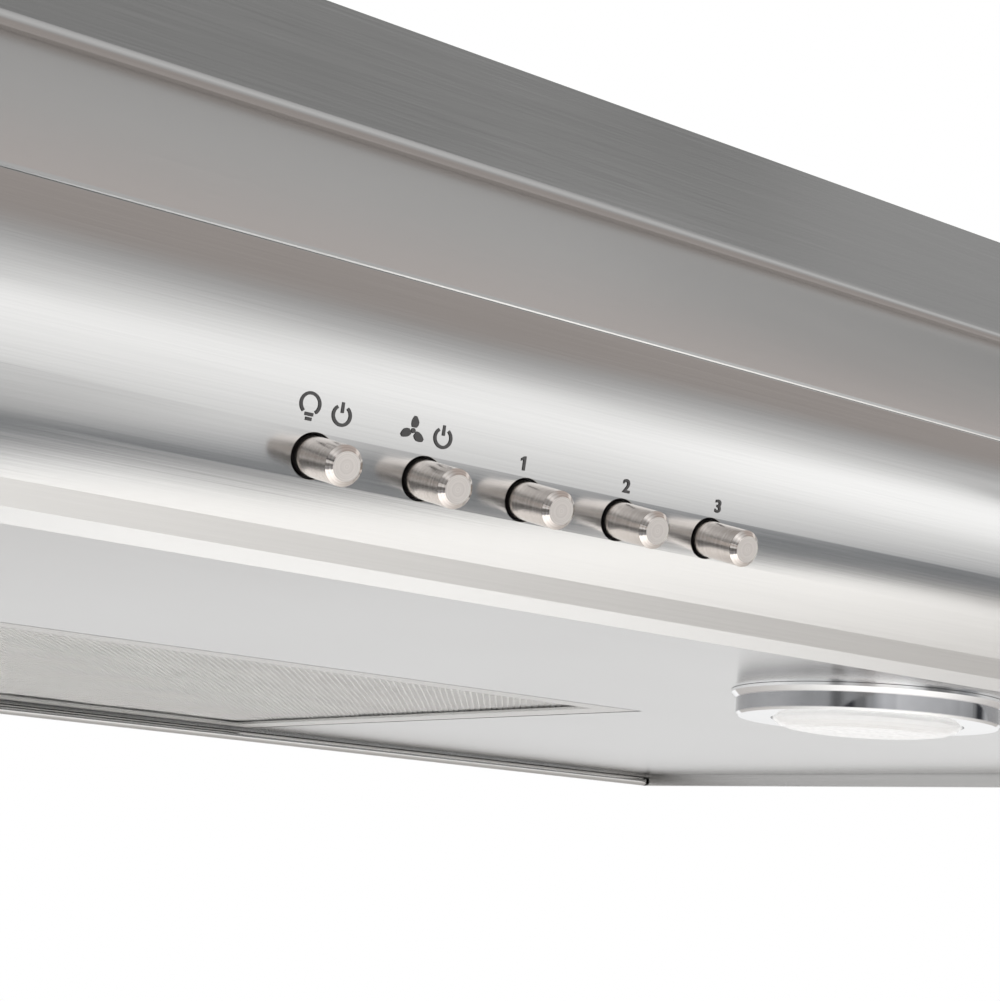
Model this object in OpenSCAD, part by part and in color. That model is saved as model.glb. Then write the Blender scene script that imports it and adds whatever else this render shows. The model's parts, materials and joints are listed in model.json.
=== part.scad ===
// Under cabinet range hood, 36 inch class.
// Rounded stainless front with five push buttons, sloped shoulder, flat top for the cabinet,
// polished underside with two round lamps and one wide mesh filter, twin wheel blower inside.
// Millimetres, +Z up, front towards -Y.
// The origin is the centre of the four cabinet screw holes, on the upper face of the top panel.

/* [Overall size] */
// Width across both side panels
hood_width = 914; // [750:1:1220]
// Depth from the front of the nose to the wall
hood_depth = 500; // [450:1:560]
// Height from the lower rim to the top panel
hood_height = 235; // [220:1:280]
// Depth of the flat top that meets the cabinet
top_depth = 305; // [280:1:330]
// Thickness of the body sheet
sheet = 1.0; // [0.6:0.1:1.5]
// Height of the hemmed rim below the flat underside
rim_drop = 5.9; // [4:0.1:12]

/* [Front] */
// Outer radius of the rounded front
nose_radius = 58.4; // [40:0.1:80]
// Height of the nose centre above the rim
nose_height = 45.8; // [35:0.1:60]
// Angle of the upper lap above the nose centre
lap_angle = 33.7; // [20:0.1:45]
// Angle of the lower fold below the nose centre
fold_angle = 33; // [20:0.1:45]
// Height of the bend between shoulder and riser above the rim
bend_height = 188; // [170:1:210]
// Height of the shoulder's upturned flange
flange_height = 10.7; // [6:0.1:20]
// Radius of the bend between shoulder and flange
bend_r = 10; // [1:0.1:12]

/* [Push buttons] */
// Distance between button centres
button_pitch = 29; // [24:0.1:36]
// Angle of the button row below the nose centre
button_angle = 16; // [5:0.1:30]
// Button diameter
button_d = 9.2; // [8:0.1:14]
// Clear hole in the front
button_hole_d = 10.6; // [9:0.1:16]
// Length standing out of the front
button_reach = 15.4; // [4:0.1:18]
// Chamfer around the button face
button_chamfer = 1.3; // [0.4:0.1:1.5]
// Press travel
button_travel = 2.5; // [1:0.1:4]

/* [Lamps] */
// Distance of each lamp from the centre line
lamp_x = 187; // [120:1:300]
// Distance of each lamp behind the nose
lamp_y = 70; // [60:1:90]
// Outer radius of the lamp ring
lamp_ring_r = 41; // [35:0.5:50]
// Radius of the clear opening for the lens
lens_r = 29.5; // [25:0.5:35]
// How far the ring hangs below the underside
lamp_drop = 8; // [4:0.5:12]
// Depth of the lens below its seat in the ring
lens_drop = 5; // [5:0.1:8]

/* [Mesh filter] */
// Filter width
filter_width = 390; // [300:1:420]
// Front edge of the filter behind the nose
filter_front = 192.5; // [150:0.5:220]
// Rear edge of the filter behind the nose
filter_rear = 490; // [470:0.5:495]
// Filter thickness
filter_thick = 9; // [6:0.5:14]

/* [Duct and blower] */
// Duct collar width, 10 inch
duct_width = 254; // [254:1:254]
// Duct collar depth, 3 1/4 inch
duct_depth = 82.5; // [82.5:0.1:82.5]
// Collar height above the top panel
collar_height = 28; // [20:1:40]
// Duct centre behind the nose
duct_y = 440; // [430:1:450]
// Blower axis behind the nose
blower_y = 388; // [380:1:392]
// Blower axis above the rim
blower_z = 120; // [115:1:125]
// Blower wheel radius
wheel_r = 74; // [60:1:75]
// Number of blades on each wheel
blade_count = 36; // [12:1:48]

/* [Cabinet screws] */
// Screw spacing from left to right
screw_spacing_x = 810; // [600:1:850]
// Screw spacing from front to rear
screw_spacing_y = 190; // [150:1:220]
// Screw hole diameter
screw_hole_d = 5.5; // [4:0.1:8]

/* [Display] */
// Piece to draw

/* [Hidden] */
$fn = 64;
gap = 0.1;
riser_y = hood_depth - top_depth;
origin_y = riser_y + top_depth / 2;
half_w = hood_width / 2;
inner_w = half_w - sheet - gap;
// Upper lap point on the nose and the slope of the shoulder.
lap_y = nose_radius * (1 - cos(lap_angle));
lap_z = nose_height + nose_radius * sin(lap_angle);
slope = atan2(bend_height - lap_z, riser_y - lap_y);
fold_y = nose_radius * (1 - cos(fold_angle));
fold_z = nose_height - nose_radius * sin(fold_angle);
// Lower fold: the return of the front, then the bevel of the tray.
return_y = 14.0;
return_z = 9.05;
tray_y = 17.1;
tray_z = rim_drop;
hem = 2.4;
opening_side = filter_width / 2 + 1.5;
opening_front = filter_front - 1;
opening_rear = filter_rear + 4;
pivot_y = filter_rear - 2.5;
pivot_z = rim_drop + filter_thick / 2;
button_x = [-2 * button_pitch, -button_pitch, 0, button_pitch, 2 * button_pitch];
neck_front = duct_y - duct_depth / 2 + 2;
neck_rear = duct_y + duct_depth / 2 - 2;
neck_half = duct_width / 2 - 2;
neck_top = hood_height - 2 * sheet;
// Three arc scroll: each quarter turn is spiral_step smaller than the last.
spiral_step = 4;
spiral_a = neck_rear - blower_y - spiral_step / 2;
spiral_b = spiral_a - spiral_step;
spiral_c = spiral_b - spiral_step;
flap_pivot_y = duct_y + duct_depth / 2 - 5;
flap_pivot_z = hood_height + 6;
box_x = 380;
box_y = 455;
steel = [0.72, 0.71, 0.70];
zinc = [0.66, 0.68, 0.70];
chrome = [0.85, 0.86, 0.88];
black = [0.06, 0.06, 0.065];
white = [0.92, 0.92, 0.90];
glass = [0.93, 0.95, 0.96];
mesh_grey = [0.78, 0.78, 0.77];

// Coordinates inside: x from the centre line, y behind the nose, z above the rim.
module body_frame() {
  translate([0, -origin_y, -hood_height]) children();
}

// Extrudes a side profile, drawn as [y, z], from x0 to x1.
module across(x0, x1) {
  translate([x0, 0, 0]) rotate([90, 0, 90]) linear_extrude(height = x1 - x0) children();
}

// Box from its low corner to its high corner.
module block(low, high) {
  translate(low) cube([high[0] - low[0], high[1] - low[1], high[2] - low[2]]);
}

// Cylinder along X between two x values at [y, z].
module rod_x(x0, x1, y, z, r) {
  translate([x0, y, z]) rotate([0, 90, 0]) cylinder(h = x1 - x0, r = r);
}

// Cylinder along Z between two heights at [x, y].
module rod_z(x, y, z0, z1, r) {
  translate([x, y, z0]) cylinder(h = z1 - z0, r = r);
}

// Wire through a list of points whose legs run along the axes, with round corners.
module wire(points, r, bend) {
  last = len(points) - 2;
  for (i = [0 : last]) {
    d = points[i + 1] - points[i];
    u = d / norm(d);
    from = points[i] + (i > 0 ? bend : 0) * u;
    to = points[i + 1] - (i < last ? bend : 0) * u;
    translate(from)
      rotate([0, acos(u[2]), atan2(u[1], u[0])])
        cylinder(h = norm(to - from), r = r);
    if (i < last) {
      e = points[i + 2] - points[i + 1];
      v = e / norm(e);
      w = cross(u, v);
      c = points[i + 1] + bend * (v - u);
      multmatrix([
        [-v[0], u[0], w[0], c[0]],
        [-v[1], u[1], w[1], c[1]],
        [-v[2], u[2], w[2], c[2]]
      ])
        rotate_extrude(angle = 90) translate([bend, 0]) circle(r = r);
    }
  }
}

// Local frame of the button row: +Z leaves the nose centre along the button axis.
module button_frame() {
  translate([0, nose_radius, nose_height]) rotate([90 + button_angle, 0, 0]) children();
}

// Outline of the side panels as [y, z]. The nose stays just inside the front sheet.
module side_outline() {
  top = [-cos(lap_angle), sin(lap_angle)];
  low = [-cos(fold_angle), -sin(fold_angle)];
  centre = [nose_radius, nose_height];
  polygon([
    [20, 0], [hood_depth, 0], [hood_depth, hood_height], [riser_y, hood_height],
    [riser_y, bend_height], [lap_y, lap_z], [fold_y, fold_z], [return_y, return_z],
    [tray_y, tray_z]
  ]);
  intersection() {
    translate(centre) circle(r = nose_radius - 0.15, $fn = 128);
    polygon([
      centre + 38 * top, centre + 68 * top, [-15, nose_height],
      centre + 68 * low, centre + 38 * low
    ]);
  }
}

module screw_down(x, y, z_seat, length, r) {
  rod_z(x, y, z_seat - 0.01, z_seat + length, r);
  rod_z(x, y, z_seat - 2.2, z_seat, 2 * r);
}

// ---- Body sheets ----

module top_panel() {
  color(steel) body_frame() difference() {
    union() {
      block([-inner_w, riser_y + sheet + gap, hood_height - sheet],
            [inner_w, hood_depth - gap, hood_height]);
      block([-inner_w, riser_y + sheet + gap, hood_height - 14],
            [inner_w, riser_y + 2 * sheet + gap, hood_height]);
    }
    block([-duct_width / 2 - 0.5, duct_y - duct_depth / 2 - 0.5, hood_height - 5],
          [duct_width / 2 + 0.5, duct_y + duct_depth / 2 + 0.5, hood_height + 5]);
    for (sx = [-1, 1], sy = [-1, 1])
      rod_z(sx * screw_spacing_x / 2, origin_y + sy * screw_spacing_y / 2,
            hood_height - 5, hood_height + 5, screw_hole_d / 2);
    rod_z(box_x, box_y, hood_height - 5, hood_height + 5, 10.6);
    for (sx = [-1, 0, 1], sy = [-1, 1])
      rod_z(sx * 118, duct_y + sy * (duct_depth / 2 + 6), hood_height - 5, hood_height + 5, 2);
  }
}

module rear_panel() {
  color(steel) body_frame() {
    block([-inner_w, hood_depth - sheet, 0], [inner_w, hood_depth, hood_height - sheet - gap]);
    // Rolled lower edge.
    rod_x(-inner_w + hem, inner_w - hem, hood_depth - hem, hem, hem - 0.05);
  }
}

module side_panel(s) {
  x0 = s > 0 ? half_w - sheet : -half_w;
  across(x0, x0 + sheet) side_outline();
  h0 = s > 0 ? half_w - hem : -half_w + sheet;
  block([h0, 24, 0], [h0 + hem - sheet, hood_depth - hem - gap, rim_drop - 0.9]);
}

module side_panel_left() {
  color(steel) body_frame() side_panel(-1);
}

module side_panel_right() {
  color(steel) body_frame() side_panel(1);
}

module riser_panel() {
  color(steel) body_frame()
    block([-inner_w, riser_y, bend_height + 1], [inner_w, riser_y + sheet, hood_height]);
}

// Sloped upper sheet: its lower edge laps over the front, its rear edge turns up before the riser.
module shoulder_panel() {
  up = [-sin(slope), cos(slope)];
  fwd = [cos(slope), sin(slope)];
  low = [lap_y, lap_z] + gap * up;
  bend_y = riser_y - sheet - gap;
  bend_z = low[1] + (bend_y - low[0]) * tan(slope) + sheet / cos(slope);
  centre = [bend_y - bend_r, bend_z + bend_r * (1 - sin(slope)) / cos(slope)];
  color(steel) body_frame() {
    across(-inner_w, inner_w)
      polygon([
        low,
        low + 0.4 * up,
        low + 0.6 * fwd + sheet * up,
        [bend_y, bend_z],
        [bend_y, bend_z + flange_height],
        [bend_y + sheet, bend_z + flange_height],
        [bend_y + sheet, bend_z - sheet / cos(slope) + sheet * tan(slope)]
      ]);
    difference() {
      across(-inner_w, inner_w)
        polygon([
          [bend_y + 0.3, centre[1]], [centre[0], centre[1]], centre - (bend_r + 0.3) * up,
          [bend_y, bend_z - 0.3], [bend_y + 0.3, bend_z]
        ]);
      rod_x(-inner_w - 1, inner_w + 1, centre[0], centre[1], bend_r);
    }
  }
}

// Rounded front: nose arc, upper flange under the shoulder, lower return fold.
module front_fascia() {
  up = [-sin(slope), cos(slope)];
  fwd = [cos(slope), sin(slope)];
  mid = nose_radius - sheet / 2;
  top = [nose_radius - mid * cos(lap_angle), nose_height + mid * sin(lap_angle)];
  low = [nose_radius - mid * cos(fold_angle), nose_height - mid * sin(fold_angle)];
  back = [return_y - fold_y, return_z - fold_z];
  fold = back / norm(back);
  out = [fold[1], -fold[0]];
  color(steel) body_frame() difference() {
    union() {
      translate([-inner_w, nose_radius, nose_height])
        rotate([90, 0, 90])
          rotate([0, 0, 180 - lap_angle])
            rotate_extrude(angle = lap_angle + fold_angle, $fn = 128)
              translate([nose_radius - sheet, 0])
                square([sheet, 2 * inner_w]);
      across(-inner_w, inner_w)
        polygon([
          top + 0.4 * up - 0.25 * fwd,
          top + 0.4 * up + 20 * fwd,
          top - 0.4 * up + 20 * fwd,
          top - 0.4 * up - 0.25 * fwd
        ]);
      across(-inner_w, inner_w)
        polygon([
          low + 0.45 * out - 0.2 * fold,
          low + 0.45 * out + norm(back) * fold,
          low - 0.45 * out + norm(back) * fold,
          low - 0.45 * out - 0.2 * fold
        ]);
    }
    button_frame()
      for (x = button_x) translate([x, 0, nose_radius - 6]) {
        cylinder(h = 12, d = button_hole_d);
        translate([0, 0, 5.6]) cylinder(h = 1, d1 = button_hole_d - 0.2, d2 = button_hole_d + 1.8);
      }
  }
}

// Flat polished underside with a bevelled front edge, lamp holes and the filter opening.
module underside_tray() {
  color(steel) body_frame() {
    difference() {
      union() {
        block([-inner_w, tray_y, rim_drop], [inner_w, hood_depth - sheet - gap, rim_drop + sheet]);
        block([-opening_side - sheet, opening_front - sheet, rim_drop],
              [opening_side + sheet, opening_rear + sheet, rim_drop + 12]);
        across(-inner_w, inner_w)
          polygon([
            [tray_y, tray_z], [14.9, 9.8], [11.35, 13.6],
            [12.1, 14.3], [15.7, 10.45], [tray_y + 0.6, tray_z + sheet]
          ]);
      }
      block([-opening_side, opening_front, 0], [opening_side, opening_rear, 40]);
      for (s = [-1, 1]) rod_z(s * lamp_x, lamp_y, 0, 20, 36);
      rod_x(-opening_side - 5, opening_side + 5, pivot_y, pivot_z, 2.06);
      for (x = [-90, 90])
        translate([x, opening_front - 5, pivot_z + 2]) rotate([-90, 0, 0]) cylinder(h = 8, r = 4.1);
    }
  }
}

// ---- Duct outlet ----

module duct_collar() {
  color(zinc) body_frame() difference() {
    union() {
      block([-duct_width / 2, duct_y - duct_depth / 2, hood_height - 2 * sheet],
            [duct_width / 2, duct_y + duct_depth / 2, hood_height + collar_height]);
      block([-duct_width / 2 - 14, duct_y - duct_depth / 2 - 11, hood_height - 2 * sheet],
            [duct_width / 2 + 14, duct_y + duct_depth / 2 + 11, hood_height - sheet]);
    }
    difference() {
      block([-duct_width / 2 + sheet, duct_y - duct_depth / 2 + sheet, hood_height - 10],
            [duct_width / 2 - sheet, duct_y + duct_depth / 2 - sheet, hood_height + 50]);
      block([-duct_width / 2, duct_y - duct_depth / 2, flap_pivot_z - 4],
            [duct_width / 2, duct_y - duct_depth / 2 + 5, flap_pivot_z - 2.8]);
    }
    rod_x(-duct_width / 2 - 5, duct_width / 2 + 5, flap_pivot_y, flap_pivot_z, 2.06);
    for (sx = [-1, 0, 1], sy = [-1, 1])
      rod_z(sx * 118, duct_y + sy * (duct_depth / 2 + 6), hood_height - 5, hood_height + 5, 2);
  }
}

module damper_flap() {
  color(zinc) body_frame() {
    block([-duct_width / 2 + 2.4, duct_y - duct_depth / 2 + 2, flap_pivot_z - 2.4],
          [duct_width / 2 - 2.4, flap_pivot_y + 1.5, flap_pivot_z - 1.4]);
    rod_x(-duct_width / 2 - 1, duct_width / 2 + 1, flap_pivot_y, flap_pivot_z, 2);
  }
}

// ---- Blower ----

// Quarter turn of scroll sheet starting at angle a0 round the centre [y, z].
module scroll_arc(centre, r, a0) {
  translate([-neck_half, centre[0], centre[1]])
    rotate([90, 0, 90])
      rotate([0, 0, a0])
        rotate_extrude(angle = 90)
          translate([r, 0]) square([sheet, 2 * neck_half]);
}

module scroll_wrap() {
  k = spiral_step / 2;
  tongue = blower_z - k + spiral_c;
  color(zinc) body_frame() difference() {
    union() {
      scroll_arc([blower_y + k, blower_z + k], spiral_a, 270);
      scroll_arc([blower_y + k, blower_z - k], spiral_b, 180);
      scroll_arc([blower_y - k, blower_z - k], spiral_c, 90);
      block([-neck_half, neck_rear, blower_z + k], [neck_half, neck_rear + sheet, neck_top]);
      block([-neck_half, blower_y - k, tongue], [neck_half, neck_front, tongue + sheet]);
      block([-neck_half, neck_front - sheet, tongue - 2], [neck_half, neck_front, neck_top]);
      difference() {
        block([-neck_half - 16, neck_front - 13, neck_top - sheet],
              [neck_half + 16, neck_rear + 13, neck_top]);
        block([-neck_half, neck_front, neck_top - 5], [neck_half, neck_rear, neck_top + 5]);
      }
    }
    for (sx = [-1, 0, 1], sy = [-1, 1])
      rod_z(sx * 118, duct_y + sy * (duct_depth / 2 + 6), neck_top - 5, neck_top + 5, 2);
    translate([20, blower_y - spiral_c - 10, blower_z + 5])
      rotate([-90, 0, 0]) cylinder(h = 20, r = 3.4);
  }
}

module scroll_end() {
  difference() {
    union() {
      rod_x(0, sheet, blower_y + spiral_step, blower_z - spiral_step, spiral_a + 0.5);
      block([0, neck_front - sheet, blower_z], [sheet, neck_rear + sheet, neck_top - sheet - gap]);
    }
    rod_x(-1, 3, blower_y, blower_z, wheel_r - 14);
  }
}

module scroll_end_left() {
  color(zinc) body_frame() translate([-neck_half - sheet - gap, 0, 0]) scroll_end();
}

module scroll_end_right() {
  color(zinc) body_frame() translate([neck_half + gap, 0, 0]) scroll_end();
}

// Rounded inlet ring pressed into each scroll end.
module inlet_rings() {
  color(zinc) body_frame()
    for (s = [-1, 1])
      translate([s * (neck_half + gap + sheet), blower_y, blower_z])
        rotate([0, s * 90, 0])
          rotate_extrude()
            polygon([
              [wheel_r - 14.1, -6], [wheel_r - 14.1, 0], [wheel_r - 8, 0.05],
              [wheel_r - 8, 1.2], [wheel_r - 14.6, 1.2], [wheel_r - 15.3, 0], [wheel_r - 15.3, -6]
            ]);
}

module motor_body() {
  color(zinc) body_frame() difference() {
    union() {
      rod_x(-40, 40, blower_y, blower_z, 42);
      rod_x(-46, 46, blower_y, blower_z, 30);
      rod_x(-50, 50, blower_y, blower_z, 9);
    }
    rod_x(-60, 60, blower_y, blower_z, 4.06);
    for (s = [-1, 1], a = [0 : 45 : 315])
      translate([0, blower_y, blower_z])
        rotate([a, 0, 0]) translate([s * 45, 0, 20])
          rotate([0, 90, 0]) cylinder(h = 4, r = 4, center = true);
  }
}

module motor_shaft() {
  color(steel) body_frame() rod_x(-112, 112, blower_y, blower_z, 4);
}

// Clamp band round the motor with two arms that reach the scroll.
module motor_bracket() {
  color(zinc) body_frame() difference() {
    union() {
      rod_x(-12, 12, blower_y, blower_z, 44);
      block([-12, blower_y - spiral_c - 1.6, blower_z - 1.5], [12, blower_y - 43, blower_z + 1.5]);
      block([-12, blower_y - 1.5, blower_z - spiral_b - 1.6], [12, blower_y + 1.5, blower_z - 43]);
    }
    rod_x(-20, 20, blower_y, blower_z, 42.05);
  }
}

// Wheel with its back plate at x = 0 and its open mouth at x = 62.
module blower_wheel() {
  difference() {
    union() {
      rod_x(0, 1.2, 0, 0, wheel_r);
      rod_x(-0.01, 16, 0, 0, 9);
    }
    rod_x(-1, 20, 0, 0, 4.02);
  }
  difference() {
    rod_x(60, 62, 0, 0, wheel_r);
    rod_x(59, 63, 0, 0, wheel_r - 11);
  }
  for (i = [0 : blade_count - 1])
    rotate([i * 360 / blade_count, 0, 0])
      translate([1.1, 0, wheel_r - 10.6]) rotate([28, 0, 0]) cube([59, 1, 10.4]);
}

module blower_wheel_left() {
  color(zinc) body_frame() translate([-53, blower_y, blower_z]) mirror([1, 0, 0]) blower_wheel();
}

module blower_wheel_right() {
  color(zinc) body_frame() translate([53, blower_y, blower_z]) blower_wheel();
}

module motor_capacitor() {
  color(white) body_frame() rod_x(180, 240, 290, 214, 16);
}

module capacitor_strap() {
  color(zinc) body_frame() {
    difference() {
      union() {
        rod_x(200, 216, 290, 214, 17.2);
        block([200, 272.8, 214], [216, 307.2, 233.9]);
      }
      rod_x(190, 226, 290, 214, 16.05);
      block([190, 274, 214], [226, 306, 240]);
    }
    block([200, 262, 232.7], [216, 274, 233.9]);
    block([200, 306, 232.7], [216, 318, 233.9]);
  }
}

// ---- Controls ----

module button_guide() {
  color(black) body_frame() button_frame() difference() {
    translate([-74, -9, 52]) cube([148, 18, 4.3]);
    for (x = button_x) translate([x, 0, 50]) cylinder(h = 10, r = button_d / 2 + 0.35);
  }
}

module switch_body() {
  color(black) body_frame() button_frame() difference() {
    translate([-74, -9, 14]) cube([148, 18, 28]);
    for (x = button_x) translate([x, 0, 28]) cylinder(h = 20, r = 3.35);
  }
}

module switch_bracket() {
  color(zinc) body_frame() button_frame() difference() {
    union() {
      translate([-80, -11, 12.9]) cube([160, 22, 1]);
      for (s = [-1, 1]) translate([s * 79 - 1, -11, 12.9]) cube([2, 22, 42.4]);
      for (s = [-1, 1]) translate([s > 0 ? 79 : -91, -11, 54.3]) cube([12, 22, 1]);
    }
    for (x = [-50, 50]) translate([x, 0, 10]) cylinder(h = 8, r = 1.8);
    for (s = [-1, 1]) translate([s * 86, 0, 50]) cylinder(h = 8, r = 1.8);
  }
}

// Turned button: chamfered cap, retaining flange behind the guide, stem into the switch.
module push_button(i) {
  r = button_d / 2;
  top = nose_radius + button_reach;
  back = 30.5 + button_travel;
  body_frame() button_frame() translate([button_x[i], 0, 0])
    rotate_extrude()
      polygon([
        [0, back], [3, back], [3, 49.3], [5.6, 49.3], [5.6, 51.6], [r, 51.6],
        [r, top - button_chamfer], [r - button_chamfer, top], [0, top]
      ]);
}

module button_light() {
  color(chrome) push_button(0);
}

module button_fan() {
  color(chrome) push_button(1);
}

module button_speed_1() {
  color(chrome) push_button(2);
}

module button_speed_2() {
  color(chrome) push_button(3);
}

module button_speed_3() {
  color(chrome) push_button(4);
}

// ---- Lamps ----

module lamp_ring(s) {
  r = lamp_ring_r;
  low = rim_drop - lamp_drop;
  body_frame() translate([s * lamp_x, lamp_y, 0])
    rotate_extrude($fn = 96)
      polygon([
        [lens_r + 0.4, low], [r - 0.8, low], [r, low + 0.8], [r, rim_drop - 2.6],
        [r + 1.6, rim_drop - 1], [r + 1.6, rim_drop - gap], [r - 1.2, rim_drop - gap],
        [r - 1.2, low + 1.4], [35.2, low + 1.4], [35.2, 18], [34.2, 18],
        [34.2, low + 1.4], [lens_r + 0.4, low + 1.4]
      ]);
}

module lamp_ring_left() {
  color(chrome) lamp_ring(-1);
}

module lamp_ring_right() {
  color(chrome) lamp_ring(1);
}

// Domed glass with a flat flange that rests on the ring.
module lamp_lens(s) {
  r = lens_r;
  body_frame() translate([s * lamp_x, lamp_y, rim_drop - lamp_drop + 1.5])
    rotate_extrude($fn = 96)
      polygon([
        [0, -lens_drop], [r - 9, 0.3 - lens_drop], [r - 4.5, 0.9 - lens_drop],
        [r - 1.8, 1.8 - lens_drop], [r - 0.5, 3 - lens_drop], [r, 4.4 - lens_drop], [r, 0], [33.8, 0],
        [33.8, 1.8], [r - 1.8, 1.8], [r - 1.8, 4.6 - lens_drop], [r - 6, 2.6 - lens_drop],
        [0, 1.8 - lens_drop]
      ]);
}

module lamp_lens_left() {
  color(glass, 0.6) lamp_lens(-1);
}

module lamp_lens_right() {
  color(glass, 0.6) lamp_lens(1);
}

module lamp_bulb(s) {
  body_frame() translate([s * lamp_x, lamp_y, 0])
    rotate_extrude()
      polygon([
        [0, 5], [20, 5], [24, 7], [24, 9], [15, 26], [10, 28], [10, 38], [3, 38], [3, 43], [0, 43]
      ]);
}

module lamp_bulb_left() {
  color(white) lamp_bulb(-1);
}

module lamp_bulb_right() {
  color(white) lamp_bulb(1);
}

// Steel cup above each lamp, with the lamp holder in its roof.
module lamp_housing(s) {
  body_frame() translate([s * lamp_x, lamp_y, 0])
    rotate_extrude($fn = 96)
      polygon([
        [39.5, 7], [39.5, 8], [37.4, 8], [37.4, 50], [13, 50], [13, 56], [0, 56],
        [0, 44], [10.4, 44], [10.4, 49], [36.4, 49], [36.4, 7]
      ]);
}

module lamp_housing_left() {
  color(zinc) lamp_housing(-1);
}

module lamp_housing_right() {
  color(zinc) lamp_housing(1);
}

// ---- Mesh filter ----

module filter_frame() {
  w = filter_width / 2;
  z0 = rim_drop;
  z1 = rim_drop + filter_thick;
  color(steel) body_frame() difference() {
    block([-w, filter_front, z0], [w, filter_rear, z1]);
    block([-w + 12, filter_front + 12, z0 - 1], [w - 12, filter_rear - 12, z1 + 1]);
    block([-w + 1, filter_front + 1, z0 + 1], [w - 1, filter_rear - 1, z1 - 1]);
    rod_x(-w - 1, w + 1, pivot_y, pivot_z, 2.03);
  }
}

module filter_mesh() {
  w = filter_width / 2;
  color(mesh_grey) body_frame()
    block([-w + 2, filter_front + 2, rim_drop + 1.2],
          [w - 2, filter_rear - 6, rim_drop + filter_thick - 1.2]);
}

module filter_pivots() {
  w = filter_width / 2;
  color(steel) body_frame()
    for (s = [-1, 1])
      rod_x(s > 0 ? w - 5 : -w - 3.2, s > 0 ? w + 3.2 : -w + 5, pivot_y, pivot_z, 2);
}

// Spring ball catches in the front edge of the opening.
module filter_catches() {
  color(zinc) body_frame()
    for (x = [-90, 90]) translate([x, 0, pivot_z + 2]) {
      translate([0, opening_front - 9, 0]) rotate([-90, 0, 0]) cylinder(h = 9, r = 4);
      translate([0, opening_front - 2.6, 0]) sphere(r = 3.4);
      translate([0, opening_front - 10, 0]) rotate([-90, 0, 0]) cylinder(h = 2, r = 6, $fn = 6);
    }
}

// ---- Wiring ----

module junction_box() {
  color(zinc) body_frame() difference() {
    block([box_x - 50, box_y - 40, 190], [box_x + 50, box_y + 40, 233.8]);
    block([box_x - 49, box_y - 39, 180], [box_x + 49, box_y + 39, 232.8]);
    rod_z(box_x, box_y, 220, 240, 10.6);
    rod_x(box_x - 60, box_x - 40, box_y, 214, 4);
    rod_x(box_x - 60, box_x - 40, box_y - 22, 214, 4);
  }
}

module junction_cover() {
  color(zinc) body_frame() difference() {
    block([box_x - 60, box_y - 40, 188.8], [box_x + 60, box_y + 40, 189.9]);
    for (s = [-1, 1]) rod_z(box_x + s * 55, box_y, 180, 195, 1.8);
  }
}

module terminal_block() {
  color(white) body_frame() difference() {
    block([box_x - 30, box_y - 30, 222], [box_x + 30, box_y - 14, 232.7]);
    for (x = [-20, 0, 20]) rod_z(box_x + x, box_y - 22, 215, 228, 3);
  }
}

// Bushing in the top panel for the supply cable.
module cable_gland() {
  color(black) body_frame() translate([box_x, box_y, 0])
    rotate_extrude()
      polygon([
        [7, 226], [13.5, 226], [13.5, 232.6], [10.4, 232.6],
        [10.4, 239], [9.4, 240], [7, 240]
      ]);
}

module wire_motor() {
  color(black) body_frame()
    wire([
      [box_x - 48, box_y, 214], [290, box_y, 214], [290, 345, 214], [150, 345, 214],
      [150, 292, 214], [150, 292, blower_z + 5], [20, 292, blower_z + 5], [20, 345.8, blower_z + 5]
    ], 2.5, 8);
}

// Both of these end at the back of the switch bracket.
module wire_switch() {
  color(black) body_frame()
    wire([
      [box_x - 48, box_y - 22, 214], [306, box_y - 22, 214], [306, 230, 214], [306, 230, 110],
      [306, 100, 110], [306, 100, 60], [36, 100, 60], [36, 100, 42.3], [36, 47, 42.3]
    ], 2.5, 8);
}

module wire_lamps() {
  color(black) body_frame()
    for (s = [-1, 1])
      wire([
        [s * lamp_x, lamp_y, 56.2], [s * lamp_x, lamp_y, 80], [s * 24, lamp_y, 80],
        [s * 24, lamp_y, 42.3], [s * 24, 46.9, 42.3]
      ], 1.8, 6);
}

// ---- Fasteners ----

module duct_screws() {
  color(steel) body_frame()
    for (sx = [-1, 0, 1], sy = [-1, 1])
      screw_down(sx * 118, duct_y + sy * (duct_depth / 2 + 6), neck_top - sheet - 0.05, 3, 1.9);
}

module scroll_screws() {
  color(steel) body_frame()
    for (s = [-1, 1], p = [[306.5, 118], [386, 31], [386, 201]])
      translate([s * (neck_half + 1.2), p[0], p[1]])
        rotate([0, s * 90, 0]) cylinder(h = 2, r = 3.4);
}

module switch_screws() {
  color(steel) body_frame() button_frame()
    for (x = [-50, 50]) {
      translate([x, 0, 10.6]) cylinder(h = 2.2, r = 3.4);
      translate([x, 0, 12.7]) cylinder(h = 1.2, r = 1.7);
    }
}

module cover_screws() {
  color(steel) body_frame()
    for (s = [-1, 1]) rod_z(box_x + s * 55, box_y, 186.6, 188.7, 3.4);
}

// ---- Assembly ----

top_panel();
rear_panel();
side_panel_left();
side_panel_right();
riser_panel();
shoulder_panel();
front_fascia();
underside_tray();
duct_collar();
damper_flap();
scroll_wrap();
scroll_end_left();
scroll_end_right();
inlet_rings();
motor_body();
motor_shaft();
motor_bracket();
blower_wheel_left();
blower_wheel_right();
motor_capacitor();
capacitor_strap();
button_guide();
switch_body();
switch_bracket();
button_light();
button_fan();
button_speed_1();
button_speed_2();
button_speed_3();
lamp_ring_left();
lamp_ring_right();
lamp_lens_left();
lamp_lens_right();
lamp_bulb_left();
lamp_bulb_right();
lamp_housing_left();
lamp_housing_right();
filter_frame();
filter_mesh();
filter_pivots();
filter_catches();
junction_box();
junction_cover();
terminal_block();
cable_gland();
wire_motor();
wire_switch();
wire_lamps();
duct_screws();
scroll_screws();
switch_screws();
cover_screws();
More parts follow.
